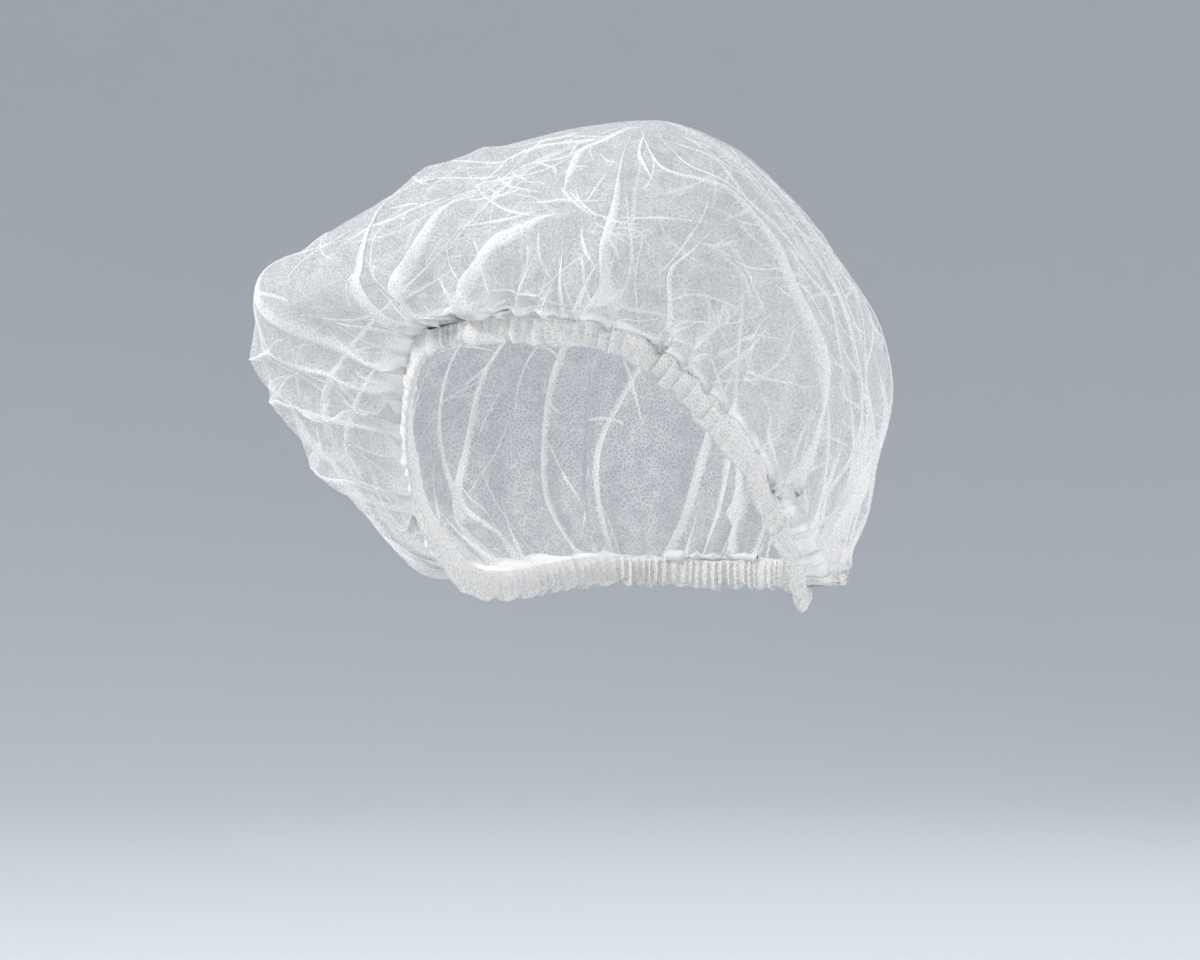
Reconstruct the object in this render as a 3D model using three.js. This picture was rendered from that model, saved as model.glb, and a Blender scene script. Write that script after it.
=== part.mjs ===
// A disposable bouffant hair cover, in the shape that it takes in use.
// A round sheet of thin nonwoven is gathered on an elastic, which runs high across the front,
// steeply down both sides and low round the back. The sheet's edge is folded round the elastic
// as a hem, and the rest of the sheet puffs out above it, most on one side.
// Millimetres, +Z up. The cap's front faces -Y, and its left side is +X.
// The origin is the middle of the elastic's loop, at the mean of its front and back heights.

import * as THREE from "three";

// Where the middle of the hem runs
const bandFront = 97;
const bandBack = 84;
const bandSide = 77;
const frontHeight = 49;
const backHeight = -49;

// The pouch above the hem
const crownTop = 133;
const topShiftSide = 9;
const topShiftBack = 7;
const pouchFullness = 0.09;
const clothWall = 1.2;

// The hem: two leaves with the elastic at the bottom and the pouch's edge between their tops
const hemHeight = 11;
const hemLeaf = 1;
const elasticWidth = 4;
const elasticThickness = 1;
const clearance = 0.35;

// The gathers that the elastic draws the sheet into
const gatherCount = 32;
const gatherDepth = 2.4;
const gatherUneven = 0.35;
const gatherMeanReach = 0.42;
const gatherReachSpread = 0.16;
const gatherShiftDegrees = 2.2;

// How far down the hem has come from front height (0) to back height (1), by degrees round from
// the middle of the front, and how far it tucks in from a plain oval behind its sides, as a share
// of bandSide. Both sides are alike.
const HEM_PATH = [
  { turn: 0, drop: 0, tuck: 0 },
  { turn: 30, drop: 0.045, tuck: 0 },
  { turn: 42, drop: 0.165, tuck: 0 },
  { turn: 53, drop: 0.325, tuck: 0 },
  { turn: 62, drop: 0.47, tuck: 0 },
  { turn: 71, drop: 0.66, tuck: 0.01 },
  { turn: 81, drop: 0.83, tuck: 0.03 },
  { turn: 91, drop: 0.97, tuck: 0.07 },
  { turn: 102, drop: 1.03, tuck: 0.12 },
  { turn: 118, drop: 1.02, tuck: 0.15 },
  { turn: 138, drop: 0.99, tuck: 0.14 },
  { turn: 160, drop: 0.99, tuck: 0.07 },
  { turn: 180, drop: 1, tuck: 0 },
];

// Level sections of the pouch. rise goes from the hem's top (0) to the crown's top (1).
// front and back are shares of bandFront and bandBack, left and right shares of bandSide.
const SECTIONS = [
  { rise: 0.008, front: 1.04, left: 1.02, back: 1, right: 1.07 },
  { rise: 0.05, front: 1.05, left: 1.06, back: 1.06, right: 1.35 },
  { rise: 0.12, front: 1.06, left: 1.09, back: 1.14, right: 1.59 },
  { rise: 0.2, front: 1.06, left: 1.12, back: 1.21, right: 1.76 },
  { rise: 0.32, front: 1.05, left: 1.13, back: 1.26, right: 1.83 },
  { rise: 0.44, front: 1.01, left: 1.1, back: 1.24, right: 1.77 },
  { rise: 0.55, front: 0.94, left: 1.05, back: 1.17, right: 1.55 },
  { rise: 0.66, front: 0.84, left: 0.93, back: 1.06, right: 1.25 },
  { rise: 0.77, front: 0.69, left: 0.75, back: 0.87, right: 1.04 },
  { rise: 0.87, front: 0.5, left: 0.54, back: 0.64, right: 0.8 },
  { rise: 0.95, front: 0.28, left: 0.32, back: 0.37, right: 0.42 },
  { rise: 1, front: 0, left: 0, back: 0, right: 0 },
];

// Broad puffs and hollows of the pouch, each round a place on it.
// swell is how far it stands out, as a share of bandSide.
const PUFFS = [
  { name: "corner_puff", turn: -70, rise: 0.4, turnSpread: 24, riseSpread: 0.12, swell: 0.05 },
  { name: "brow_hollow", turn: -28, rise: 0.35, turnSpread: 16, riseSpread: 0.3, swell: -0.09 },
  { name: "side_hollow", turn: -95, rise: 0.2, turnSpread: 20, riseSpread: 0.1, swell: -0.07 },
  { name: "ear_puff", turn: 104, rise: 0.3, turnSpread: 20, riseSpread: 0.14, swell: 0.04 },
  { name: "nape_puff", turn: 184, rise: 0.2, turnSpread: 34, riseSpread: 0.14, swell: 0.09 },
  { name: "back_hollow", turn: 140, rise: 0.62, turnSpread: 22, riseSpread: 0.2, swell: -0.05 },
];

// Ridges that the folded sheet forms between the crown's top and the hem.
// bow bends the ridge sideways, in degrees; breadth and height are shares of bandSide.
const RIDGES = [
  { name: "brow_left", turnTop: 22, riseTop: 0.93, turnFoot: 32, riseFoot: 0, bow: -6, breadth: 0.08, height: 0.055 },
  { name: "brow_right", turnTop: -42, riseTop: 0.9, turnFoot: -14, riseFoot: 0, bow: -8, breadth: 0.09, height: 0.055 },
  { name: "temple_left", turnTop: 52, riseTop: 0.92, turnFoot: 74, riseFoot: 0.02, bow: 14, breadth: 0.1, height: 0.065 },
  { name: "temple_right", turnTop: -62, riseTop: 0.88, turnFoot: -36, riseFoot: 0.05, bow: -6, breadth: 0.11, height: 0.06 },
  { name: "tent_seam", turnTop: -80, riseTop: 0.84, turnFoot: -64, riseFoot: 0.18, bow: -6, breadth: 0.1, height: 0.06 },
  { name: "side_right", turnTop: -112, riseTop: 0.85, turnFoot: -100, riseFoot: 0.1, bow: 6, breadth: 0.12, height: 0.06 },
  { name: "nape_right", turnTop: -150, riseTop: 0.85, turnFoot: -142, riseFoot: 0.05, bow: -5, breadth: 0.12, height: 0.06 },
  { name: "nape_left", turnTop: 158, riseTop: 0.88, turnFoot: 172, riseFoot: 0.05, bow: 6, breadth: 0.12, height: 0.06 },
  { name: "behind_ear", turnTop: 118, riseTop: 0.86, turnFoot: 134, riseFoot: 0.05, bow: -6, breadth: 0.11, height: 0.06 },
  { name: "over_ear", turnTop: 84, riseTop: 0.9, turnFoot: 104, riseFoot: 0.12, bow: 5, breadth: 0.1, height: 0.055 },
];

// How finely the faces follow the forms
const facesPerGather = 4;
const rowsPerSection = [1, 2, 2, 2, 2, 2, 1, 1, 1, 1, 1, 1];
const halvedFromRise = 0.6;
const quarteredFromRise = 0.9;

// The rises over which puffs come in above the hem, and all pushes fade out below the top
const puffsComeIn = 0.08;
const pushesTurnSquare = 0.2;
const pushesFadeOut = 0.12;
const up = new THREE.Vector3(0, 0, 1);

const smooth = (x) => {
  const t = THREE.MathUtils.clamp(x, 0, 1);
  return t * t * (3 - 2 * t);
};

// Degrees between two turns, from -180 to 180
const turnBetween = (a, b) => THREE.MathUtils.euclideanModulo(a - b + 180, 360) - 180;

// The value of a column of a table at a place between its rows, with level ends
function readTable(rows, key, value, at) {
  const last = rows.length - 1;
  let i = 0;
  while (i < last - 1 && rows[i + 1][key] < at) i += 1;
  const row = (k) => rows[THREE.MathUtils.clamp(k, 0, last)];
  const slope = (k) => {
    if (k === 0 || k === last) return 0;
    return (row(k + 1)[value] - row(k - 1)[value]) / (row(k + 1)[key] - row(k - 1)[key]);
  };
  const span = row(i + 1)[key] - row(i)[key];
  const t = THREE.MathUtils.clamp((at - row(i)[key]) / span, 0, 1);
  const t2 = t * t;
  const t3 = t2 * t;
  return (
    (2 * t3 - 3 * t2 + 1) * row(i)[value] +
    (t3 - 2 * t2 + t) * span * slope(i) +
    (3 * t2 - 2 * t3) * row(i + 1)[value] +
    (t3 - t2) * span * slope(i + 1)
  );
}

// A level ring of four quarters, as a place in plan: ellipses, or fuller than they are
function ring(turn, fullness, { front, left, back, right }) {
  const angle = THREE.MathUtils.degToRad(turn);
  const across = Math.sin(angle);
  const ahead = Math.cos(angle);
  const full = 1 + fullness * (2 * across * ahead) ** 2;
  const x = across * full * (across > 0 ? left : right);
  const y = -ahead * full * (ahead > 0 ? front : back);
  return new THREE.Vector2(x, y);
}

// The lower edge of the hem, in the middle of its thickness
function hemEdge(turn) {
  const away = Math.abs(turnBetween(turn, 0));
  const side = bandSide * (1 - readTable(HEM_PATH, "turn", "tuck", away));
  const drop = readTable(HEM_PATH, "turn", "drop", away);
  const plan = ring(turn, 0, { front: bandFront, left: side, back: bandBack, right: side });
  return new THREE.Vector3(plan.x, plan.y, THREE.MathUtils.lerp(frontHeight, backHeight, drop));
}

// The hem's own directions at a turn: out from the loop, and up its face across the hem.
// above is the turn that its top edge has reached, since a sloping hem leans back.
function hemFrame(turn) {
  const probe = 0.5;
  const edge = hemEdge(turn);
  const along = hemEdge(turn + probe).sub(hemEdge(turn - probe));
  const out = new THREE.Vector3().crossVectors(along, up).normalize();
  const rise = new THREE.Vector3().crossVectors(out, along).normalize();
  const level = new THREE.Vector3().crossVectors(up, out);
  const lean = (rise.dot(level) * hemHeight) / Math.hypot(edge.x, edge.y);
  return { edge, out, rise, above: turn + THREE.MathUtils.radToDeg(lean) };
}

// A place on the middle of the sheet at a section, before puffs and folds
function sectionPoint(turn, index) {
  const { edge, rise, above } = hemFrame(turn);
  if (index < 0) return edge.addScaledVector(rise, hemHeight * (index + 2));
  const last = SECTIONS.length - 1;
  const beyond = index > last;
  const row = SECTIONS[beyond ? 2 * last - index : index];
  const shift = smooth(row.rise);
  const plan = ring(beyond ? above + 180 : above, pouchFullness * smooth(row.rise / 0.2), {
    front: row.front * bandFront,
    left: row.left * bandSide,
    back: row.back * bandBack,
    right: row.right * bandSide,
  });
  const bottom = edge.addScaledVector(rise, hemHeight).z;
  return new THREE.Vector3(
    plan.x + shift * topShiftSide,
    plan.y + shift * topShiftBack,
    THREE.MathUtils.lerp(bottom, crownTop, row.rise),
  );
}

// The sheet between two sections as a curve. place counts sections, from -1 at the hem's top.
function basePoint(turn, place) {
  const last = SECTIONS.length - 1;
  const i = THREE.MathUtils.clamp(Math.floor(place), -1, last - 1);
  const t = place - i;
  const [a, b, c, d] = [i - 1, i, i + 1, i + 2].map((k) => sectionPoint(turn, k));
  const at = (axis) => {
    const slopeB = (c[axis] - a[axis]) / 2;
    const slopeC = (d[axis] - b[axis]) / 2;
    const bend = 2 * (b[axis] - c[axis]) + slopeB + slopeC;
    const lean = c[axis] - b[axis] - slopeB - bend;
    return ((bend * t + lean) * t + slopeB) * t + b[axis];
  };
  return new THREE.Vector3(at("x"), at("y"), at("z"));
}

// The rise, from 0 at the hem to 1 at the top, at a place that counts sections
function riseAt(place) {
  const i = Math.max(Math.floor(place), 0);
  const lower = SECTIONS[i].rise;
  const upper = SECTIONS[Math.min(i + 1, SECTIONS.length - 1)].rise;
  return place < 0 ? (place + 1) * lower : THREE.MathUtils.lerp(lower, upper, place - i);
}

// The way out of the sheet, square to it, at a place between sections
function baseOut(turn, place) {
  const last = SECTIONS.length - 1;
  if (place >= last) return up.clone();
  const probe = 0.02;
  const around = basePoint(turn + 1, place).sub(basePoint(turn - 1, place));
  const upwards = basePoint(turn, place + probe).sub(basePoint(turn, Math.max(place - probe, -1)));
  return new THREE.Vector3().crossVectors(around, upwards).normalize();
}

// Each gather has its own depth and reaches its own way up the pouch.
const gatherStrength = (k) => 1 + gatherUneven * (Math.sin(k * 2.4) + 0.57 * Math.cos(k * 1.3));
const gatherReach = (k) => gatherMeanReach + gatherReachSpread * Math.sin(k * 1.7 + 1);

// Turns at which the sheet's faces meet, so that each gather has the same number of them.
// Gathers differ in width round the hem.
const gatherStart = (k) => {
  const evenly = (k / gatherCount) * 360;
  return evenly + gatherShiftDegrees * (Math.sin(k * 2.1) + 0.64 * Math.sin(k * 0.7));
};
const faceTurns = [];
for (let k = 0; k < gatherCount; k += 1) {
  const start = gatherStart(k);
  const end = k + 1 < gatherCount ? gatherStart(k + 1) : 360 + gatherStart(0);
  for (let j = 0; j < facesPerGather; j += 1) {
    faceTurns.push({ turn: start + ((end - start) * j) / facesPerGather, gather: k, phase: j / facesPerGather });
  }
}

// How far the gathers push the sheet out, at the hem and up the pouch
function gatherPush(face, rise) {
  const wave = Math.sin(face.phase * 2 * Math.PI) * gatherStrength(face.gather);
  const swell = 1 + 0.5 * smooth(rise / 0.1);
  return gatherDepth * wave * swell * (1 - smooth(rise / gatherReach(face.gather)));
}

// How far a broad puff pushes the sheet out
function puffPush(turn, rise) {
  return PUFFS.reduce((sum, puff) => {
    const across = turnBetween(turn, puff.turn) / puff.turnSpread;
    const upwards = (rise - puff.rise) / puff.riseSpread;
    return sum + puff.swell * bandSide * Math.exp(-across * across - upwards * upwards);
  }, 0);
}

// How far the ridges push the sheet out. width is how far it is round the pouch by one degree.
function ridgePush(turn, rise, width) {
  return RIDGES.reduce((sum, ridge) => {
    const share = (ridge.riseTop - rise) / (ridge.riseTop - ridge.riseFoot);
    if (share <= 0 || share >= 1) return sum;
    const middle = THREE.MathUtils.lerp(ridge.turnTop, ridge.turnFoot, share) + ridge.bow * 4 * share * (1 - share);
    const across = (turnBetween(turn, middle) * width) / (ridge.breadth * bandSide);
    const ends = smooth(share / 0.4) * smooth((1 - share) / 0.2);
    return sum + ridge.height * bandSide * Math.exp(-across * across) * ends;
  }, 0);
}

// A point of the pouch: on the middle of the sheet, or a layer out from it.
// Next to the hem, folds push the sheet level outwards, clear of the hem's leaves.
function pouchPoint(face, place, layer) {
  const rise = riseAt(place);
  const base = basePoint(face.turn, place);
  const width = THREE.MathUtils.degToRad(Math.hypot(base.x, base.y));
  const puffs = puffPush(face.turn, rise) * smooth(rise / puffsComeIn);
  const push = gatherPush(face, rise) + puffs + ridgePush(face.turn, rise, width);
  const square = baseOut(face.turn, place);
  const pushed = hemFrame(face.turn).out.lerp(square, smooth(rise / pushesTurnSquare)).normalize();
  return base.addScaledVector(pushed, push * smooth((1 - rise) / pushesFadeOut)).addScaledVector(square, layer);
}

// A point in the hem: height above its lower edge, and a layer out from its middle
function hemPoint(face, height, layer) {
  const { edge, out, rise } = hemFrame(face.turn);
  return edge.addScaledVector(rise, height).addScaledVector(out, gatherPush(face, 0) + layer);
}

// One closed mesh from rows of points, each row joined to the next
class RowMesh {
  points = [];
  triangles = [];

  addRow(row) {
    const first = this.points.length;
    this.points.push(...row);
    return row.map((point, i) => first + i);
  }

  // Joins a row to the one above it, which has as many points, half as many, or one.
  join(low, high) {
    const n = low.length;
    for (let i = 0; i < n; i += 1) {
      const [a, b] = [low[i], low[(i + 1) % n]];
      if (high.length === n) {
        const [c, d] = [high[i], high[(i + 1) % n]];
        this.triangles.push(a, b, d, a, d, c);
      } else if (high.length === 1) {
        this.triangles.push(a, b, high[0]);
      } else {
        const c = high[(Math.ceil(i / 2)) % high.length];
        this.triangles.push(a, b, c);
        if (i % 2) this.triangles.push(high[(i - 1) / 2], a, c);
      }
    }
  }

  geometry() {
    const made = new THREE.BufferGeometry().setFromPoints(this.points);
    made.setIndex(this.triangles);
    made.computeVertexNormals();
    return made;
  }
}

// The places of the pouch's rows: the hem's top, then steps up each section to the top
function pouchPlaces() {
  const places = [];
  rowsPerSection.forEach((steps, section) => {
    for (let j = 0; j < steps; j += 1) places.push(section - 1 + j / steps);
  });
  return [...places, SECTIONS.length - 1];
}

// The faces that a row of the pouch has: fewer towards its top, and one point there
function facesAt(place) {
  const rise = riseAt(place);
  if (rise >= 1) return [faceTurns[0]];
  const step = rise > quarteredFromRise ? 4 : rise > halvedFromRise ? 2 : 1;
  return faceTurns.filter((face, i) => i % step === 0);
}

// The pouch of thin cloth, open below, whose lower edge is tucked into the hem
function makeCrown() {
  const mesh = new RowMesh();
  const tuck = elasticWidth + 2 * clearance + hemLeaf;
  const sides = [clothWall / 2, -clothWall / 2].map((layer) => {
    const rows = [mesh.addRow(faceTurns.map((face) => hemPoint(face, tuck, layer)))];
    rows.push(mesh.addRow(faceTurns.map((face) => hemPoint(face, hemHeight, layer))));
    pouchPlaces()
      .slice(1)
      .forEach((place) => {
        rows.push(mesh.addRow(facesAt(place).map((face) => pouchPoint(face, place, layer))));
      });
    return rows;
  });
  const [outside, inside] = sides;
  outside.slice(1).forEach((row, i) => mesh.join(outside[i], row));
  const outer = mesh.triangles;
  mesh.triangles = [];
  inside.slice(1).forEach((row, i) => mesh.join(inside[i], row));
  mesh.join(outside[0], inside[0]);
  mesh.triangles = [...outer, ...mesh.triangles.reverse()];
  return mesh.geometry();
}

// A closed loop along the hem whose section, in the hem's own directions, is an outline
function makeHemLoop(outline) {
  const mesh = new RowMesh();
  const rows = outline.map(([height, layer]) => mesh.addRow(faceTurns.map((face) => hemPoint(face, height, layer))));
  rows.forEach((row, i) => mesh.join(row, rows[(i + 1) % rows.length]));
  return mesh.geometry();
}

// The hem's section, a U whose leaves stand either side of the elastic and the pouch's edge
function hemOutline() {
  const inner = clothWall / 2 + clearance;
  const outer = inner + hemLeaf;
  const top = hemHeight - hemLeaf;
  return [
    [0, -inner],
    [0, inner],
    [hemLeaf, outer],
    [top, outer],
    [top, inner],
    [hemLeaf, inner],
    [hemLeaf, -inner],
    [top, -inner],
    [top, -outer],
    [hemLeaf, -outer],
  ];
}

// The flat elastic in the bottom of the hem
function elasticOutline() {
  const half = elasticThickness / 2;
  const foot = hemLeaf + clearance;
  return [
    [foot, -half],
    [foot, half],
    [foot + elasticWidth, half],
    [foot + elasticWidth, -half],
  ];
}

const nonwoven = new THREE.MeshStandardMaterial({ color: 0xf3f1f0, roughness: 0.85, metalness: 0, side: THREE.DoubleSide });
const hemCloth = new THREE.MeshStandardMaterial({ color: 0xf8f7f6, roughness: 0.85, metalness: 0 });
const rubber = new THREE.MeshStandardMaterial({ color: 0xf4f2ec, roughness: 0.7, metalness: 0 });

function piece(name, geometry, material) {
  const mesh = new THREE.Mesh(geometry, material);
  mesh.name = name;
  return mesh;
}

const cap = new THREE.Group();
cap.add(piece("crown", makeCrown(), nonwoven));
cap.add(piece("hem", makeHemLoop(hemOutline()), hemCloth));
cap.add(piece("elastic", makeHemLoop(elasticOutline()), rubber));

export default cap;
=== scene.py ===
"""A disposable bouffant hair cover, shown in the form that it takes in use.

Lengths are in metres. The cap's front faces -Y and +Z is up. The origin is the middle of the
elastic's loop. Turns are degrees round from the middle of the front, towards the cap's left.
"""

import math

import bpy
import numpy as np
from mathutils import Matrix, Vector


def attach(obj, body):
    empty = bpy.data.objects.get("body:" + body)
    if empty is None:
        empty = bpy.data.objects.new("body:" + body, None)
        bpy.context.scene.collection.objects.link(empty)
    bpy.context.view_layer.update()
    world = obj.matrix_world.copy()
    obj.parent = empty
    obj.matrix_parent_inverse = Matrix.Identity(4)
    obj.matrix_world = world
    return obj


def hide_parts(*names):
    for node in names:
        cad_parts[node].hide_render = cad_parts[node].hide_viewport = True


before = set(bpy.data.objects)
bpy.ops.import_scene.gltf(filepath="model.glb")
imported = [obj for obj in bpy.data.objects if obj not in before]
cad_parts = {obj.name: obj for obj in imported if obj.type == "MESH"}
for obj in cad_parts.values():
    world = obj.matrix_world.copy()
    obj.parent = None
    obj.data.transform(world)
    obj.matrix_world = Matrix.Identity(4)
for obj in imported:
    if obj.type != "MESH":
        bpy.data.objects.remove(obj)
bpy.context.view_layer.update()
chance = np.random.default_rng(21)


def colour(hex_code):
    """An sRGB colour such as "f4f2f1", as the linear values that a shader takes."""
    parts = [int(hex_code[i : i + 2], 16) / 255 for i in (0, 2, 4)]
    return [p / 12.92 if p <= 0.04045 else ((p + 0.055) / 1.055) ** 2.4 for p in parts] + [1]


def add_node(material, kind, settings=None, **inputs):
    """Adds a node. Each input is a value, or the output socket that it is linked to."""
    node = material.node_tree.nodes.new(kind)
    for name, value in (settings or {}).items():
        setattr(node, name, value)
    for name, value in inputs.items():
        socket = node.inputs[int(name[1:])] if name[1:].isdigit() else node.inputs[name.replace("_", " ")]
        if isinstance(value, bpy.types.NodeSocket):
            material.node_tree.links.new(value, socket)
        else:
            socket.default_value = value
    return node


def new_material(name):
    material = bpy.data.materials.new(name)
    material.use_nodes = True
    material.node_tree.nodes.clear()
    return material


def new_piece(name, points, faces, material):
    """A smooth mesh object in the row frame."""
    mesh = bpy.data.meshes.new(name)
    mesh.from_pydata(points.reshape(-1, 3).tolist(), [], faces)
    mesh.polygons.foreach_set("use_smooth", [True] * len(mesh.polygons))
    mesh.materials.append(material)
    piece = bpy.data.objects.new(name, mesh)
    bpy.context.scene.collection.objects.link(piece)
    return piece


def ring_faces(index, flipped=False):
    """The quads between rows of points that go right round, turned over where flipped."""
    a, b = index[:-1], np.roll(index[:-1], -1, 1)
    c, d = np.roll(index[1:], -1, 1), index[1:]
    return np.stack([a, d, c, b] if flipped else [a, b, c, d], -1).reshape(-1, 4).tolist()


# Studio
# A pale round floor curves up into a backdrop on all sides. A soft key light stands on the left, a
# fill on the right, a glow behind the cloth and two lights above. The camera has the photograph's
# view: 26 degrees round to the cap's left, and 2 degrees above level.

AIM = np.array([-0.0079, -0.0038, -0.0035])
CAMERA_TURN, CAMERA_TILT, CAMERA_AWAY = math.radians(26), math.radians(2), 1.6
# the photograph's pixels in a metre at the cap, and across
PHOTO_SCALE, PHOTO_WIDTH = 2630, 1200
SENSOR_WIDTH = 36

scene = bpy.context.scene
camera_data = bpy.data.cameras.new("camera")
camera_data.sensor_width = SENSOR_WIDTH
camera_data.lens = SENSOR_WIDTH * PHOTO_SCALE * CAMERA_AWAY / PHOTO_WIDTH
camera = bpy.data.objects.new("camera", camera_data)
toward = np.array([
    math.sin(CAMERA_TURN) * math.cos(CAMERA_TILT),
    -math.cos(CAMERA_TURN) * math.cos(CAMERA_TILT),
    math.sin(CAMERA_TILT),
])
camera.location = AIM + toward * CAMERA_AWAY
camera.rotation_euler = (math.pi / 2 - CAMERA_TILT, 0, CAMERA_TURN)
scene.collection.objects.link(camera)
scene.camera = camera
scene.view_settings.view_transform = "Standard"

FLOOR_DEPTH, FLOOR_REACH = -0.32, 1.75
BACKDROP_BEND, BACKDROP_HEIGHT, BACKDROP_SIDES = 0.65, 4.0, 128
AIR_STRENGTH = 0.34
LIGHT_TARGET = Vector((0, 0, 0.03))
backdrop_paint = new_material("pale_studio_paint")
paint = add_node(backdrop_paint, "ShaderNodeBsdfDiffuse", Color=colour("d6dade"), Roughness=0.9)
add_node(backdrop_paint, "ShaderNodeOutputMaterial", Surface=paint.outputs[0])
profile = [(0.7 * FLOOR_REACH, 0), (FLOOR_REACH, 0)]
profile += [
    (FLOOR_REACH + BACKDROP_BEND * math.sin(a), BACKDROP_BEND * (1 - math.cos(a)))
    for a in np.radians(np.arange(5, 91, 5))
]
profile.append((FLOOR_REACH + BACKDROP_BEND, BACKDROP_HEIGHT))
sides = np.arange(BACKDROP_SIDES) * 2 * math.pi / BACKDROP_SIDES
backdrop_points = np.array([
    [away * math.cos(a), away * math.sin(a), FLOOR_DEPTH + height]
    for away, height in profile
    for a in sides
])
backdrop_index = np.arange(len(profile) * BACKDROP_SIDES).reshape(len(profile), -1)
backdrop_faces = ring_faces(backdrop_index, flipped=True) + [backdrop_index[0].tolist()]
backdrop = new_piece("backdrop", backdrop_points, backdrop_faces, backdrop_paint)

# name, degrees round from the front, height and distance of the light, its width, and watts
LIGHTS = [
    ("key", -50, 0.9, 1.2, 0.45, 21),
    ("fill", 62, 0.25, 1.5, 0.8, 8),
    ("glow", 170, 0.75, 1.3, 0.8, 6),
    ("top", 60, 1.7, 0.3, 0.8, 4),
    ("wash", 0, 3.2, 0.01, 2.4, 12),
]
for name, turn, height, away, width, watts in LIGHTS:
    light_data = bpy.data.lights.new(name, "AREA")
    light_data.shape, light_data.size, light_data.energy = "DISK", width, watts
    light = bpy.data.objects.new(name, light_data)
    angle = math.radians(turn)
    place = Vector((math.sin(angle) * away, -math.cos(angle) * away, height))
    light.location = place
    light.rotation_euler = (LIGHT_TARGET - place).to_track_quat("-Z", "Y").to_euler()
    scene.collection.objects.link(light)

world = bpy.data.worlds.new("studio_air")
world.use_nodes = True
world.node_tree.nodes["Background"].inputs["Color"].default_value = colour("eef1f4")
world.node_tree.nodes["Background"].inputs["Strength"].default_value = AIR_STRENGTH
scene.world = world

# Form of the worn sheet
# The path that the elastic takes, and the pouch above it as level sections.
# Hem, elastic and crown all follow it.

BAND_FRONT, BAND_BACK, BAND_SIDE = 0.097, 0.084, 0.077
FRONT_HEIGHT, BACK_HEIGHT = 0.049, -0.049
HEM_HEIGHT = 0.011
# degrees round from the front, how far down from front to back height, tuck behind the sides
HEM_PATH = np.array([
    [0, 0, 0], [30, 0.045, 0], [42, 0.165, 0], [53, 0.325, 0], [62, 0.47, 0],
    [71, 0.66, 0.01], [81, 0.83, 0.03], [91, 0.97, 0.07], [102, 1.03, 0.12],
    [118, 1.02, 0.15], [138, 0.99, 0.14], [160, 0.99, 0.07], [180, 1, 0],
])


def smooth(x):
    t = np.clip(x, 0, 1)
    return t * t * (3 - 2 * t)


def unit(v):
    return v / np.maximum(np.linalg.norm(v, axis=-1, keepdims=True), 1e-12)


def read_table(rows, column, at):
    """A column of a table between its rows, on a smooth curve that is level at both ends."""
    x, y = rows[:, 0], rows[:, column]
    slope = np.zeros(len(x))
    slope[1:-1] = (y[2:] - y[:-2]) / (x[2:] - x[:-2])
    i = np.clip(np.searchsorted(x, at) - 1, 0, len(x) - 2)
    span = x[i + 1] - x[i]
    t = np.clip((at - x[i]) / span, 0, 1)
    rise = 3 * t**2 - 2 * t**3
    lean = (t**3 - 2 * t**2 + t) * slope[i] + (t**3 - t**2) * slope[i + 1]
    return (1 - rise) * y[i] + rise * y[i + 1] + span * lean


def ring(turn, fullness, front, left, back, right):
    """A level ring of four quarters in plan: ellipses, or fuller than they are."""
    across, ahead = np.sin(np.radians(turn)), np.cos(np.radians(turn))
    full = 1 + fullness * (2 * across * ahead) ** 2
    x = across * full * np.where(across > 0, left, right)
    y = -ahead * full * np.where(ahead > 0, front, back)
    return x, y


def hem_edge(turn):
    away = np.abs((turn + 180) % 360 - 180)
    side = BAND_SIDE * (1 - read_table(HEM_PATH, 2, away))
    x, y = ring(turn, 0, BAND_FRONT, side, BAND_BACK, side)
    return np.stack([x, y, FRONT_HEIGHT + (BACK_HEIGHT - FRONT_HEIGHT) * read_table(HEM_PATH, 1, away)], -1)


def hem_frame(turn):
    """The hem's lower edge, the ways out of the loop and up its face, and its top's turn."""
    edge, up = hem_edge(turn), np.array([0.0, 0, 1])
    along = hem_edge(turn + 0.5) - hem_edge(turn - 0.5)
    out = unit(np.cross(along, up))
    rise = unit(np.cross(out, along))
    lean = (rise * np.cross(up, out)).sum(-1) * HEM_HEIGHT / np.hypot(edge[..., 0], edge[..., 1])
    return edge, out, rise, turn + np.degrees(lean)


CROWN_TOP, TOP_SHIFT = 0.133, np.array([0.009, 0.007, 0])
# rise above the hem, then the reach to the front, left, back and right, as shares of the band's own
SECTIONS = np.array([
    [0.008, 1.04, 1.02, 1, 1.07],
    [0.05, 1.05, 1.06, 1.06, 1.35],
    [0.12, 1.06, 1.09, 1.14, 1.59],
    [0.2, 1.06, 1.12, 1.21, 1.76],
    [0.32, 1.05, 1.13, 1.26, 1.83],
    [0.44, 1.01, 1.1, 1.24, 1.77],
    [0.55, 0.94, 1.05, 1.17, 1.55],
    [0.66, 0.84, 0.93, 1.06, 1.25],
    [0.77, 0.69, 0.75, 0.87, 1.04],
    [0.87, 0.5, 0.54, 0.64, 0.8],
    [0.95, 0.28, 0.32, 0.37, 0.42],
    [1, 0, 0, 0, 0],
])


def section_points(turn):
    """Points of every section at each turn: the hem's edge and top first, two mirrored ones last."""
    edge, out, rise, above = hem_frame(turn)
    top = edge + rise * HEM_HEIGHT
    points = [edge, top]
    for row, over in [(r, 0) for r in SECTIONS] + [(SECTIONS[-2], 180), (SECTIONS[-3], 180)]:
        x, y = ring(above + over, 0.09 * smooth(row[0] / 0.2), row[1] * BAND_FRONT,
                    row[2] * BAND_SIDE, row[3] * BAND_BACK, row[4] * BAND_SIDE)
        z = top[..., 2] + (CROWN_TOP - top[..., 2]) * row[0]
        points.append(np.stack([x, y, z], -1) + smooth(row[0]) * TOP_SHIFT)
    return np.array(points)


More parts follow.
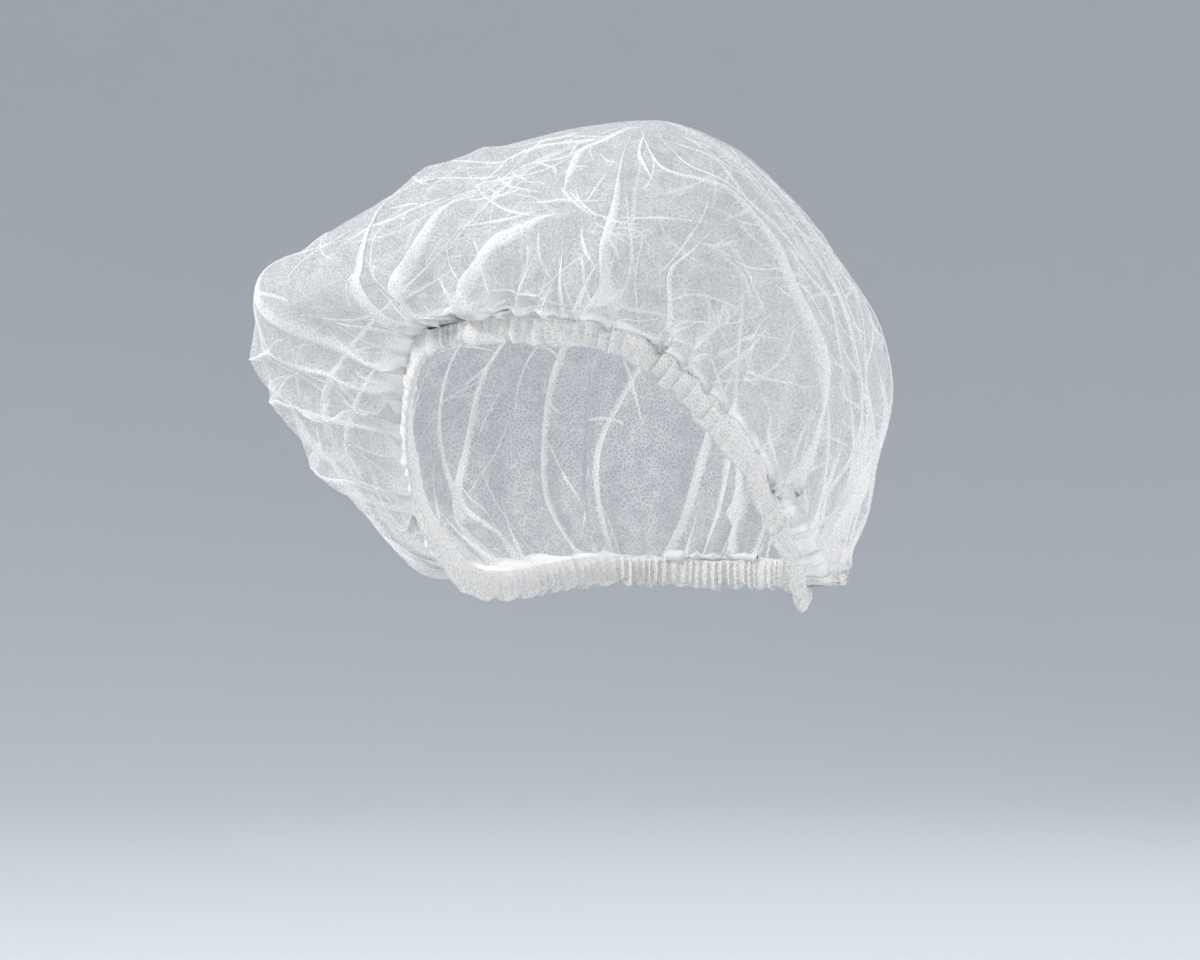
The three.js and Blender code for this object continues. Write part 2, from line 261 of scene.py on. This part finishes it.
def on_pouch(turn, place):
    """Grid of points on the pouch: rows by place, which counts sections from -1 at the hem's top."""
    points = section_points(turn)
    i = np.clip(np.floor(place).astype(int), -1, len(SECTIONS) - 2)
    t = (place - i)[:, None, None]
    a, b, c, d = (points[i + k] for k in (1, 2, 3, 4))
    slope_b, slope_c = (c - a) / 2, (d - b) / 2
    bend = 2 * (b - c) + slope_b + slope_c
    return ((bend * t + c - b - slope_b - bend) * t + slope_b) * t + b


def rise_at(place):
    return np.interp(place, np.arange(-1, len(SECTIONS)), np.r_[0, SECTIONS[:, 0]])


def band_frame(turn, ripple_out, ripple_along, height):
    """Points of the hem band: pushed out and along by its gathers, at a height up its face."""
    edge, out, rise, _ = hem_frame(turn)
    along = np.cross(rise, out)
    return edge + rise * height[..., None] + out * ripple_out[..., None] + along * ripple_along[..., None]


# The gathers differ in width round the hem, so their phase runs unevenly. The crown takes up
# every second one.
GATHER_COUNT = 132
WANDER = [(3, 1.8, 0.4), (7, 1.6, 2.0), (11, 1.4, 4.1), (19, 1.0, 1.2), (31, 0.7, 5.0), (47, 0.35, 3.0)]
gather_sizes = chance.lognormal(0, 0.5, GATHER_COUNT).clip(0.15, 2.2)


def gather_phase(turn):
    angle = np.radians(turn)
    return GATHER_COUNT * angle + sum(a * np.sin(n * angle + p) for n, a, p in WANDER)


def gather_depth(turn):
    """How deep the gathers are: each its own size, slack behind the sides and taut in front."""
    place = (gather_phase(turn) / (2 * math.pi)) % GATHER_COUNT
    own = np.interp(place, np.arange(GATHER_COUNT + 1), np.r_[gather_sizes, gather_sizes[0]])
    return own * (0.85 - 0.25 * np.cos(np.radians(turn)))


# Crown
# The pouch is one layer of white spunbond polypropylene, gathered at the hem and puffed out
# above it. It is a height field of broad puffs, flat folded-over pleats that lie where the
# photograph shows them, fine gathers that fade upwards, and sharp creases of the papery sheet.

CROWN_AROUND, CROWN_ROWS, TUCK_ROWS = 528, 112, 3
FOLD_STEPS, CREASES = 9, 260
# how far the gathers sway sideways and stand out, and broader waves above them
GATHER_SWAY, GATHER_SWELL, BROAD_SWELL = 0.0021, 0.0026, 0.0026
DROOP = 0.009
# degrees round, rise, spread of each, and how far it stands out
PUFFS = [
    (-70, 0.4, 24, 0.12, 0.004),
    (-28, 0.35, 16, 0.3, -0.007),
    (-95, 0.2, 20, 0.1, -0.0054),
    (104, 0.3, 20, 0.14, 0.0031),
    (122, 0.13, 24, 0.13, -0.0085),
    (184, 0.2, 34, 0.14, 0.0069),
    (140, 0.62, 22, 0.2, -0.0039),
]
# Flat folds seen in the photograph: places on the pouch as (turn, rise), then the fold's width
# at its start and at its end. A fold's cloth lies three layers deep.
FOLDS = [
    ([(20, 0.9), (4, 0.8), (7, 0.68), (9, 0.55)], 0.0034, 0.0046),
    ([(5, 0.8), (-4, 0.68), (-17, 0.66)], 0.0012, 0.0018),
    ([(-16, 0.65), (-3, 0.5), (9, 0.43)], 0.0014, 0.002),
    ([(-11, 0.4), (-3, 0.45), (6, 0.5)], 0.001, 0.0014),
    ([(12, 0.46), (7, 0.42), (-1, 0.32), (-5, 0.16), (-8, 0.0)], 0.005, 0.0092),
    ([(-3, 0.54), (10, 0.53), (20, 0.54)], 0.001, 0.0013),
    ([(19, 0.88), (21, 0.63), (23, 0.46), (23, 0.31), (26, 0.11), (28, 0.0)], 0.0024, 0.0078),
    ([(22, 0.9), (31, 0.68), (44, 0.66), (54, 0.58), (60, 0.46), (68, 0.36), (73, 0.22), (69, 0.0)],
     0.004, 0.009),
    ([(30, 0.9), (37, 0.74), (51, 0.66), (66, 0.66), (76, 0.6)], 0.0016, 0.003),
    ([(24, 0.9), (24, 0.76), (30, 0.63)], 0.001, 0.0014),
    ([(14, 0.9), (-6, 0.84), (-20, 0.8)], 0.0014, 0.0022),
    ([(17, 0.91), (-2, 0.88), (-36, 0.84)], 0.001, 0.0018),
    ([(58, 0.38), (48, 0.15), (44, 0.0)], 0.0014, 0.003),
    ([(45, 0.27), (44, 0.14), (44, 0.0)], 0.0074, 0.0026),
    ([(52, 0.3), (40, 0.12), (36, 0.0)], 0.001, 0.0016),
    ([(56, 0.14), (63, 0.05), (68, 0.0)], 0.0012, 0.0026),
    ([(79, 0.19), (74, 0.09), (70, 0.0)], 0.0014, 0.0034),
    ([(66, 0.24), (55, 0.14), (50, 0.1)], 0.001, 0.0014),
    ([(-16, 0.64), (-13, 0.4), (-17, 0.2), (-22, 0.0)], 0.0046, 0.0096),
    ([(-38, 0.74), (-27, 0.45), (-26, 0.25), (-31, 0.0)], 0.003, 0.007),
    ([(-58, 0.64), (-49, 0.4), (-44, 0.2), (-43, 0.0)], 0.0036, 0.0068),
    ([(-84, 0.42), (-68, 0.22), (-60, 0.08), (-55, 0.0)], 0.0036, 0.0052),
    ([(-72, 0.36), (-54, 0.2), (-48, 0.08), (-50, 0.0)], 0.0022, 0.0034),
    ([(-92, 0.3), (-80, 0.16), (-72, 0.0)], 0.0036, 0.0054),
    ([(-104, 0.7), (-88, 0.55), (-70, 0.45)], 0.0014, 0.0022),
    ([(14, 0.3), (15, 0.12), (16, 0.0)], 0.0016, 0.0034),
    ([(-3, 0.13), (6, 0.09), (14, 0.12)], 0.001, 0.001),
    ([(118, 0.62), (96, 0.4), (88, 0.2), (84, 0.0)], 0.003, 0.006),
    ([(90, 0.66), (91, 0.4), (84, 0.14), (80, 0.0)], 0.0018, 0.0036),
    ([(63, 0.6), (79, 0.56), (82, 0.36)], 0.0016, 0.0022),
    ([(40, 0.5), (34, 0.3), (36, 0.12), (38, 0.0)], 0.0014, 0.0032),
]
# The photograph doesn't show the back, so folds of the same kind are strewn over it.
for foot in np.arange(100, 262, 9.5):
    lean, top = chance.uniform(-16, 16), chance.uniform(0.3, 0.85)
    middle = (foot + lean * 0.3 + chance.uniform(-6, 6), top * 0.45)
    widths = chance.uniform(0.0012, 0.0036), chance.uniform(0.0025, 0.007)
    FOLDS.append(([(foot + lean, top), middle, (foot, 0.0)], *widths))

# Where the elastic draws the sheet in, short folds stand up from the hem all the way round.
for foot in np.arange(-90, 262, 5.6):
    foot, top = foot + chance.uniform(-2.5, 2.5), chance.uniform(0.06, 0.3)
    lean, width = chance.uniform(-9, 9), chance.uniform(0.0012, 0.0045)
    middle = (foot + 0.4 * lean, top * 0.45)
    FOLDS.append(([(foot + lean, top), middle, (foot, 0.0)], 0.0006, width))

crown_turns = np.arange(CROWN_AROUND) * 360 / CROWN_AROUND
fine = np.linspace(-1, len(SECTIONS) - 1, 900)
lengths = np.linalg.norm(np.diff(on_pouch(np.arange(0, 360, 15.0), fine), axis=0), axis=2).mean(1)
run = np.r_[0, np.cumsum(lengths)] / lengths.sum()
crown_places = np.interp(np.linspace(0, 1, CROWN_ROWS + 1) ** 1.12, run, fine)[:-1]
crown_rise = rise_at(crown_places)[:, None]


def directions(grid):
    """The way round, and the way out, at each point of a grid of rows."""
    around = unit(np.roll(grid, -1, 1) - np.roll(grid, 1, 1))
    return around, unit(np.cross(around, np.gradient(grid, axis=0)))


sheet = on_pouch(crown_turns, crown_places)
_, out = directions(sheet)
push = np.zeros(sheet.shape[:2])
for turn, rise, turn_spread, rise_spread, height in PUFFS:
    across = ((crown_turns - turn + 180) % 360 - 180) / turn_spread
    push += height * np.exp(-(across[None] ** 2) - ((crown_rise - rise) / rise_spread) ** 2)
# slow uneven swells of the slack cloth
for n, m, size in [(5, 7, 0.0016), (8, 11, 0.0013), (13, 9, 0.001), (17, 17, 0.0007)]:
    phase = chance.uniform(0, 6.28, 2)
    round_wave = np.sin(n * np.radians(crown_turns)[None] + phase[0] + 3 * crown_rise)
    push += size * round_wave * np.sin(m * crown_rise + phase[1])
sheet = sheet + out * (push * smooth(crown_rise / 0.08) * smooth((1 - crown_rise) / 0.12))[..., None]
around, out = directions(sheet)


def on_sheet(turn, rise, grid=sheet):
    """A point of the puffed sheet, or of another grid like it, and the way out there."""
    row = np.interp(np.interp(rise, crown_rise[:, 0], crown_places), crown_places, np.arange(CROWN_ROWS))
    column = turn % 360 / 360 * CROWN_AROUND
    i, j = np.floor(row).astype(int), np.floor(column).astype(int)
    u, v = (row - i)[:, None], (column - j)[:, None]
    i2, j, j2 = np.minimum(i + 1, CROWN_ROWS - 1), j % CROWN_AROUND, (j + 1) % CROWN_AROUND

    def between(g):
        return (1 - u) * ((1 - v) * g[i, j] + v * g[i, j2]) + u * ((1 - v) * g[i2, j] + v * g[i2, j2])

    return between(grid), unit(between(out))


shift = np.zeros_like(sheet)
flat_sheet, flat_shift, flat_out = sheet.reshape(-1, 3), shift.reshape(-1, 3), out.reshape(-1, 3)
fold_lines, ridge = [], np.zeros(len(flat_sheet))
for knots, width_start, width_end in FOLDS:
    knots = np.array(knots, float)
    steps = np.linspace(0, len(knots) - 1, FOLD_STEPS * len(knots))
    track = np.column_stack([np.interp(steps, np.arange(len(knots)), knots[:, c]) for c in (0, 1)])
    for _ in range(4):
        track[1:-1] = (track[:-2] + 2 * track[1:-1] + track[2:]) / 4
    widths = np.linspace(width_start, width_end, len(track))
    fold_lines.append((track, widths, knots[-1, 1] <= 0.01))
    line, _ = on_sheet(track[:, 0], track[:, 1])
    # the cloth beside a fold is dragged up into a soft ridge
    reach = 0.03
    near = np.flatnonzero(
        (flat_sheet > line.min(0) - reach).all(1) & (flat_sheet < line.max(0) + reach).all(1)
    )
    gap = flat_sheet[near, None] - line[None]
    nearest = (gap**2).sum(2).argmin(1)
    apart = np.linalg.norm(gap[np.arange(len(near)), nearest], axis=1)
    width = 0.002 + 0.9 * widths[nearest]
    ridge[near] = np.maximum(ridge[near], 0.34 * width * np.exp(-((apart / width) ** 2)))
flat_shift += flat_out * ridge[:, None]

# the gathers at the hem, which loop over one another and die out at their own heights
phase = gather_phase(crown_turns)[None] / 2
depth = gather_depth(crown_turns)[None]
angle = np.radians(crown_turns)
reach = 0.17 + 0.07 * np.sin(6 * angle + 2) + 0.05 * np.sin(17 * angle) + 0.06 * np.sin(29 * angle + 1)
fade = smooth(crown_rise / 0.03) * (1 - smooth(crown_rise / reach[None]))
fade = fade + 0.2 * (1 - smooth(crown_rise / 0.6))
shift += around * (-GATHER_SWAY * depth * np.sin(phase) * fade)[..., None]
shift += out * (GATHER_SWELL * depth * np.cos(phase + 5 * crown_rise) * fade)[..., None]
wide = BROAD_SWELL * np.cos(31 * angle + 1.8 * np.sin(5 * angle))[None]
bell = smooth(crown_rise / 0.1) * (1 - smooth((crown_rise - 0.12) / 0.35))
shift += out * (wide * bell)[..., None]

body = sheet + shift * smooth((1 - crown_rise) / 0.06)[..., None]
# the slack cloth behind the sides and at the back droops past the hem's top
behind = smooth((94 - np.abs((crown_turns - 175 + 180) % 360 - 180)) / 26)[None]
droop = DROOP * behind * smooth(crown_rise / 0.05) * (1 - smooth((crown_rise - 0.05) / 0.3))
body[..., 2] -= droop * (1 + 0.16 * np.sin(23 * angle)[None] + 0.1 * np.sin(38 * angle + 1)[None])
tuck_heights = np.linspace(0.0065, HEM_HEIGHT - 0.001, TUCK_ROWS)
rippled = 0.0004 * np.cos(2 * phase[0])
tucked = np.array([
    band_frame(crown_turns, rippled, 0 * rippled, np.full(CROWN_AROUND, h)) for h in tuck_heights
])
top = [[TOP_SHIFT[0], TOP_SHIFT[1], CROWN_TOP]]
points = np.concatenate([tucked.reshape(-1, 3), body.reshape(-1, 3), top])
index = np.arange((TUCK_ROWS + CROWN_ROWS) * CROWN_AROUND).reshape(-1, CROWN_AROUND)
crown_faces = ring_faces(index)
# the last row closes on the one point at the top
last = index[-1].tolist()
crown_faces += [(one, two, len(points) - 1) for one, two in zip(last, last[1:] + last[:1])]


def lay_strip(track, widths, profile):
    """A folded ribbon of the same cloth along a track on the crown, with a given cross-section.

    The profile lists how far across the ribbon each of its edges lies, in widths, how high above
    the cloth, in metres, and how closely the layers cling together there. That is 1 at most, and
    below 0 where the ribbon fades out into the cloth.
    """
    step = 0.02
    line, line_out = on_sheet(track[:, 0], track[:, 1], body)
    round_way = (on_sheet(track[:, 0] + step * 50, track[:, 1], body)[0] - line) / (step * 50)
    up_way = (on_sheet(track[:, 0], track[:, 1] + step, body)[0] - line) / step
    sideways = unit(np.cross(line_out, np.gradient(line, axis=0)))
    rr, uu, ru = (round_way**2).sum(1), (up_way**2).sum(1), (round_way * up_way).sum(1)
    sr, su = (sideways * round_way).sum(1), (sideways * up_way).sum(1)
    spread = rr * uu - ru**2
    turn_step, rise_step = (sr * uu - su * ru) / spread, (su * rr - sr * ru) / spread
    turn_step = np.clip(turn_step, -1.4 / rr**0.5, 1.4 / rr**0.5)
    rise_step = np.clip(rise_step, -1.4 / uu**0.5, 1.4 / uu**0.5)
    lanes = []
    for across, height, _ in profile:
        x = across * widths
        rise = np.clip(track[:, 1] + rise_step * x, 0, 0.985)
        place, way_out = on_sheet(track[:, 0] + turn_step * x, rise, body)
        lanes.append(place + way_out * (height * np.minimum(1, widths / 0.001))[:, None])
    return np.array(lanes)


# where the sheet runs into the hem its gathers are packed tight
row_rise = np.r_[np.zeros(TUCK_ROWS), crown_rise[:, 0]]
dense = np.r_[np.repeat(2.4 * (1 - smooth(row_rise / 0.035)), CROWN_AROUND), 0]
point_list, closeness = [points], [dense]


def add_strip(track, widths, profile, packed):
    """Adds a ribbon to the crown. Its layers cling as the profile says, and by packed more."""
    lanes = lay_strip(track, widths, profile)
    start = sum(len(group) for group in point_list)
    index = start + np.arange(len(profile) * len(track)).reshape(-1, len(track))
    quads = [index[:-1, :-1], index[:-1, 1:], index[1:, 1:], index[1:, :-1]]
    crown_faces.extend(np.stack(quads, -1).reshape(-1, 4).tolist())
    point_list.append(lanes.reshape(-1, 3))
    closeness.append(np.add.outer([cling for _, _, cling in profile], packed).ravel())


# the cloth runs up to a crisp edge and doubles back under itself, or is only pinched up
LAPPED = [
    (-0.5, 0.0001, -0.7), (-0.25, 0.0004, 0.1), (0.1, 0.0008, 0.6), (0.36, 0.0009, 0.9),
    (0.47, 0.0008, 1.0), (0.5, 0.0006, 1.0), (0.4, 0.0004, 0.7), (0.1, 0.0003, 0.4),
    (-0.3, 0.0002, -0.3),
]
PINCHED = [(-0.5, 0.0001, 0.3), (0, 0.0005, 1.0), (0.5, 0.0001, 0.3)]
for n, (track, widths, to_hem) in enumerate(fold_lines):
    share = np.linspace(0, 1, len(track))
    taper = smooth(share / 0.5) * (1 if to_hem else smooth((1 - share) / 0.5))
    widths = widths * taper * (1 + 0.1 * np.sin(share * 9 + n)) + 0.00025
    side = 1 if n % 2 else -1
    lapped = [(side * across, height, cling) for across, height, cling in LAPPED]
    add_strip(track, widths, lapped, 2 * (1 - smooth(track[:, 1] / 0.03)))
for _ in range(CREASES):
    turn, rise = chance.uniform(0, 360), chance.uniform(0.06, 0.9) ** 0.85
    # next to the hem they stand up from it, and further up they lie every way
    aim = math.pi / 2 + chance.uniform(-1, 1) * (0.35 + 1.3 * smooth(rise / 0.4))
    half, bend = chance.uniform(0.004, 0.02), chance.uniform(-0.25, 0.25)
    along = np.linspace(-1, 1, 12)
    spot = on_sheet(np.array([turn, turn + 1, turn]), np.array([rise, rise, rise + 0.01]))[0]
    metres_per_turn = np.linalg.norm(spot[1] - spot[0])
    metres_per_rise = np.linalg.norm(spot[2] - spot[0]) / 0.01
    track = np.column_stack([
        turn + half * (along * math.cos(aim) + bend * along**2 * math.sin(aim)) / metres_per_turn,
        rise + half * (along * math.sin(aim) - bend * along**2 * math.cos(aim)) / metres_per_rise,
    ])
    track[:, 1] = np.clip(track[:, 1], 0.01, 0.97)
    widths = chance.uniform(0.0005, 0.0016) * (1 - along**2) ** 0.5 + 0.0001
    add_strip(track, widths, PINCHED, np.zeros(len(track)))


def spunbond(name, tint, cloud_scale, cloud_detail, least, shares):
    """White nonwoven, a veil of fibres that stops more of the light where more of them lie.

    Least is what the thinnest cloth stops. The shares are what cloudy areas, fibres, the web
    and, where there is a fourth share, clinging layers add to that.
    """
    material = new_material(name)
    where = add_node(material, "ShaderNodeTexCoord").outputs["Object"]
    # cloudy areas a few millimetres across where more fibres were laid
    cloud = add_node(
        material, "ShaderNodeTexNoise", Vector=where, Scale=cloud_scale, Detail=cloud_detail
    )
    # single fibres and small bundles, under a millimetre
    fibre = add_node(material, "ShaderNodeTexNoise", Vector=where, Scale=1400.0, Detail=0.0)
    # the web that bundles of fibres draw between the bond points, about 2 mm across
    to_edge = {"feature": "DISTANCE_TO_EDGE"}
    cells = add_node(material, "ShaderNodeTexVoronoi", to_edge, Vector=where, Scale=560.0)
    web = add_node(
        material, "ShaderNodeMapRange", {"interpolation_type": "SMOOTHSTEP"},
        Value=cells.outputs["Distance"], _1=0.02, _2=0.2, _3=1.0, _4=0.0,
    )
    sources = [cloud.outputs["Fac"], fibre.outputs["Fac"], web.outputs[0]]
    if len(shares) > len(sources):
        # in a fold the layers cling together, so less light gets between their fibres
        doubled = add_node(material, "ShaderNodeAttribute", {"attribute_name": "doubled"})
        sources.append(doubled.outputs["Fac"])
    cover = least
    for n, (source, share) in enumerate(zip(sources, shares)):
        settings = {"operation": "MULTIPLY_ADD", "use_clamp": n == len(shares) - 1}
        more = add_node(material, "ShaderNodeMath", settings, _0=source, _1=share, _2=cover)
        cover = more.outputs[0]
    lit = add_node(material, "ShaderNodeBsdfDiffuse", Color=colour(tint), Roughness=0.4)
    through = add_node(material, "ShaderNodeBsdfTranslucent", Color=colour("f6f4f3"))
    cloth = add_node(
        material, "ShaderNodeMixShader", _0=0.25, _1=lit.outputs[0], _2=through.outputs[0]
    )
    clear = add_node(material, "ShaderNodeBsdfTransparent")
    veil = add_node(
        material, "ShaderNodeMixShader", _0=cover, _1=clear.outputs[0], _2=cloth.outputs[0]
    )
    add_node(material, "ShaderNodeOutputMaterial", Surface=veil.outputs[0])
    return material


white_spunbond = spunbond("white_spunbond", "fcfbfa", 170.0, 0.5, -0.085, [0.3, 0.24, 0.2, 0.42])
crown = new_piece("crown_sheet", np.concatenate(point_list), crown_faces, white_spunbond)
doubled_at = crown.data.attributes.new("doubled", "FLOAT", "POINT")
doubled_at.data.foreach_set("value", np.concatenate(closeness))
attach(crown, "root")
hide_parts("crown")

# Hem
# The sheet's edge is folded double round the elastic, and sewn. Its two leaves ripple outwards
# and inwards from the elastic, and its lower edge is a soft ruffle.

HEM_AROUND, LEAF_GAP = 2000, 0.0011
# how far the leaves ripple outwards and sideways, and how far the lower edge ruffles
HEM_RIPPLE, HEM_SWAY, HEM_RUFFLE = 0.00065, 0.00075, 0.001
hem_turns = np.arange(HEM_AROUND) * 360 / HEM_AROUND
hem_phase, hem_depth = gather_phase(hem_turns), gather_depth(hem_turns)
ripple = HEM_RIPPLE * hem_depth
angle = np.radians(hem_turns)
ruffle = HEM_RUFFLE * hem_depth * np.sin(hem_phase * 0.5 + 2 * np.sin(angle * 9))
ruffle += 0.0006 * np.sin(angle * 17 + 1) + 0.0005 * np.sin(angle * 41)
# height up the face, side of the elastic (1 outside, -1 inside), and how much it ruffles
HEM_SECTION = [
    (0.0112, 1, 0.3), (0.0095, 1, 0.35), (0.0075, 1, 0.5), (0.005, 1, 0.7), (0.0025, 1, 0.9),
    (0.0006, 0.7, 1), (-0.0004, 0, 1), (0.0006, -0.7, 1), (0.0025, -1, 0.9), (0.005, -1, 0.7),
    (0.0075, -1, 0.5), (0.0095, -1, 0.35), (0.0108, -1, 0.3),
]
hem_rows = []
for height, leaf, loose in HEM_SECTION:
    bulge = ripple * (1 + np.cos(hem_phase + (0 if leaf > 0 else 2.1)))
    outwards = leaf * (LEAF_GAP * (0.6 if height > 0.009 else 1) + bulge * (0.7 + 0.5 * loose))
    sideways = -HEM_SWAY * hem_depth * np.sin(hem_phase) * np.sign(leaf + 0.01)
    hem_rows.append(band_frame(hem_turns, outwards, sideways, height + ruffle * loose * 0.6))
hem_faces = ring_faces(np.arange(len(hem_rows) * HEM_AROUND).reshape(-1, HEM_AROUND), flipped=True)

# the fold is two leaves of the crown's own cloth, and stops more of the light than one. Its tint is a touch
# whiter than the crown's: painted light that brightens the hem where it lies in shade
hem_cloth = spunbond("white_hem_cloth", "fdfcfb", 200.0, 2.0, 0.3, [0.4, 0.3, 0.25])
hem = new_piece("hem_fold", np.array(hem_rows), hem_faces, hem_cloth)
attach(hem, "root")
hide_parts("hem")

# Stitching
# White thread holds the folded edge of the hem down: a row of stitches 3 mm apart, just under the
# top of the outer leaf.

STITCH_PITCH, STITCH_LENGTH, STITCH_RADIUS, STITCH_HEIGHT = 0.003, 0.0019, 0.00016, 0.0088
seam_bulge = LEAF_GAP + ripple * (1 + np.cos(hem_phase)) * 0.9 + 0.0002
seam_shift = -HEM_SWAY * hem_depth * np.sin(hem_phase)
seam_line = band_frame(hem_turns, seam_bulge, seam_shift, STITCH_HEIGHT + ruffle * 0.2)
seam_mesh = bpy.data.meshes.new("seam_line")
seam_edges = [(i, (i + 1) % HEM_AROUND) for i in range(HEM_AROUND)]
seam_mesh.from_pydata(seam_line.tolist(), seam_edges, [])
seam = bpy.data.objects.new("seam_line", seam_mesh)
scene.collection.objects.link(seam)

thread = new_material("white_thread")
thread_base = add_node(thread, "ShaderNodeBsdfPrincipled", Base_Color=colour("fbfaf8"), Roughness=0.55)
add_node(thread, "ShaderNodeOutputMaterial", Surface=thread_base.outputs[0])

sewing = bpy.data.node_groups.new("sewing", "GeometryNodeTree")
sewing.interface.new_socket("Geometry", in_out="INPUT", socket_type="NodeSocketGeometry")
for name, value in (("Pitch", STITCH_PITCH), ("Length", STITCH_LENGTH), ("Radius", STITCH_RADIUS)):
    sewing.interface.new_socket(name, in_out="INPUT", socket_type="NodeSocketFloat").default_value = value
sewing.interface.new_socket("Geometry", in_out="OUTPUT", socket_type="NodeSocketGeometry")
nodes, links = sewing.nodes, sewing.links
given, result = nodes.new("NodeGroupInput"), nodes.new("NodeGroupOutput")
to_curve, resample = nodes.new("GeometryNodeMeshToCurve"), nodes.new("GeometryNodeResampleCurve")
tangent, align = nodes.new("GeometryNodeInputTangent"), nodes.new("FunctionNodeAlignRotationToVector")
stitch, place = nodes.new("GeometryNodeMeshUVSphere"), nodes.new("GeometryNodeInstanceOnPoints")
ratio, size = nodes.new("ShaderNodeMath"), nodes.new("ShaderNodeCombineXYZ")
realize, paint = nodes.new("GeometryNodeRealizeInstances"), nodes.new("GeometryNodeSetMaterial")
resample.mode = "LENGTH"
align.axis = "Z"
ratio.operation = "DIVIDE"
stitch.inputs["Segments"].default_value = 6
stitch.inputs["Rings"].default_value = 6
size.inputs["X"].default_value = size.inputs["Y"].default_value = 1
paint.inputs["Material"].default_value = thread
for start, end in (
    (given.outputs["Geometry"], to_curve.inputs["Mesh"]),
    (to_curve.outputs["Curve"], resample.inputs["Curve"]),
    (given.outputs["Pitch"], resample.inputs["Length"]),
    (resample.outputs["Curve"], place.inputs["Points"]),
    (given.outputs["Radius"], stitch.inputs["Radius"]),
    (stitch.outputs["Mesh"], place.inputs["Instance"]),
    (tangent.outputs["Tangent"], align.inputs["Vector"]),
    (align.outputs["Rotation"], place.inputs["Rotation"]),
    (given.outputs["Length"], ratio.inputs[0]),
    (given.outputs["Radius"], ratio.inputs[1]),
    (ratio.outputs["Value"], size.inputs["Z"]),
    (size.outputs["Vector"], place.inputs["Scale"]),
    (place.outputs["Instances"], realize.inputs["Geometry"]),
    (realize.outputs["Geometry"], paint.inputs["Geometry"]),
    (paint.outputs["Geometry"], result.inputs["Geometry"]),
):
    links.new(start, end)
maker = seam.modifiers.new("sewing", "NODES")
maker.node_group = sewing
made = bpy.data.meshes.new_from_object(seam.evaluated_get(bpy.context.evaluated_depsgraph_get()))
seam.modifiers.remove(maker)
bpy.data.objects.remove(seam)
stitches = bpy.data.objects.new("hem_stitches", made)
scene.collection.objects.link(stitches)
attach(stitches, "root")

# Elastic
# A flat off-white elastic lies loose in the bottom of the hem and draws it in.

ELASTIC_AROUND = 360
# heights of its two edges above the hem's lower edge, and half its thickness
ELASTIC_LOW, ELASTIC_HIGH, ELASTIC_HALF = 0.0014, 0.0054, 0.0004
elastic_turns = np.arange(ELASTIC_AROUND) * 360 / ELASTIC_AROUND
level = np.ones(ELASTIC_AROUND)
elastic_rows = [
    band_frame(elastic_turns, side * level, 0 * level, height * level)
    for height, side in [
        (ELASTIC_LOW, -ELASTIC_HALF),
        (ELASTIC_LOW, ELASTIC_HALF),
        (ELASTIC_HIGH, ELASTIC_HALF),
        (ELASTIC_HIGH, -ELASTIC_HALF),
    ]
]
index = np.arange(4 * ELASTIC_AROUND).reshape(4, -1)
elastic_faces = ring_faces(np.concatenate([index, index[:1]]))
rubber = new_material("off_white_elastic")
rubber_base = add_node(rubber, "ShaderNodeBsdfPrincipled", Base_Color=colour("efece4"), Roughness=0.65)
add_node(rubber, "ShaderNodeOutputMaterial", Surface=rubber_base.outputs[0])
elastic = new_piece("elastic_band", np.array(elastic_rows), elastic_faces, rubber)
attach(elastic, "root")
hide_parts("elastic")
